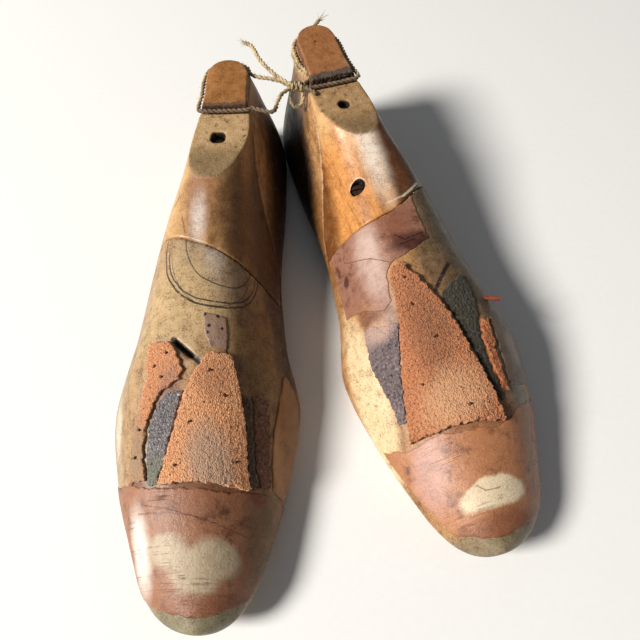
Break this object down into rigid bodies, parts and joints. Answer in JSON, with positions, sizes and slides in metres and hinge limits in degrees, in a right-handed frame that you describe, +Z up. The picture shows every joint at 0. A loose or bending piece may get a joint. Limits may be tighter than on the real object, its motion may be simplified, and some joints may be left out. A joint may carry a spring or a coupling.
{
  "type": "cobbler last",
  "caption": "Worn wooden shoe lasts tied together with twine, each with a lift-out scoop block and leather build-ups nailed over the forepart, for making shoes by hand.",
  "frame": {"origin": "on the floor, under the middle of the box round the lasts, twine left out", "axes": "+Z up, -Y towards the toes, +X to the right as the toes face the viewer"},
  "size_m": [0.2024, 0.3125, 0.077],
  "materials": {
    "left_wood": "oiled, worn",
    "right_wood": "oiled, worn",
    "left_block_wood": "oiled, scuffed",
    "right_block_wood": "oiled, scuffed",
    "left_cap_leather": "smooth, worn",
    "right_cap_leather": "smooth, worn",
    "dowel_wood": "plain",
    "steel": "dull, rusted",
    "suede": "rough, fuzzy",
    "grey_leather": "rough, granular",
    "rough_leather": "rough, torn",
    "dark_leather": "dull",
    "joint_leather": "smooth, worn",
    "worn_leather": "worn smooth",
    "instep_leather": "polished by wear",
    "toe_leather": "polished, scratched",
    "peg_wood": "plain",
    "twine": "fuzzy hemp"
  },
  "bodies": {
    "lasts": {"left_last_body": "left_wood", "right_last_body": "right_wood", "left_crown_leather": "left_cap_leather", "right_crown_leather": "right_cap_leather", "left_block_peg": "dowel_wood", "left_centre_pad": "suede", "right_centre_pad": "suede", "left_outer_strip": "grey_leather", "right_inner_strip": "grey_leather", "left_outer_leather": "rough_leather", "left_inner_brown_strip": "rough_leather", "right_outer_torn_strip": "rough_leather", "left_inner_dark_strip": "dark_leather", "right_outer_dark_strip": "dark_leather", "left_inner_joint_leather": "joint_leather", "right_outer_joint_leather": "joint_leather", "left_instep_patch": "worn_leather", "right_instep_leather": "instep_leather", "left_toe_leather": "toe_leather", "right_toe_leather": "toe_leather", "right_side_peg": "peg_wood", "left_pad_tack_1": "steel", "left_pad_tack_2": "steel", "left_pad_tack_3": "steel", "left_pad_tack_4": "steel", "left_pad_tack_5": "steel", "left_leather_tack_1": "steel", "left_leather_tack_2": "steel", "left_leather_tack_3": "steel", "left_leather_tack_4": "steel", "left_leather_tack_5": "steel", "right_pad_tack_1": "steel", "right_pad_tack_2": "steel", "right_pad_tack_3": "steel", "right_pad_tack_4": "steel", "right_pad_tack_5": "steel", "right_crown_tack": "steel", "twine_left_loop": "twine", "twine_right_loop": "twine", "twine_left_tail": "twine", "twine_right_tail": "twine", "twine_bow": "twine", "twine_knot": "twine"},
    "left_block": {"left_scoop_block": "left_block_wood"},
    "right_block": {"right_scoop_block": "right_block_wood"},
    "right_screw": {"right_block_screw": "steel"}
  },
  "joints": [
    {"name": "left_block_lift", "type": "slide", "parent": "lasts", "child": "left_block", "axis": [0, 0, 1], "range_m": [0, 0.06]},
    {"name": "right_block_lift", "type": "slide", "parent": "lasts", "child": "right_block", "axis": [0, 0, 1], "range_m": [0, 0.06]},
    {"name": "right_screw_lift", "type": "slide", "parent": "right_block", "child": "right_screw", "axis": [0, 0, 1], "range_m": [0, 0.045]}
  ]
}
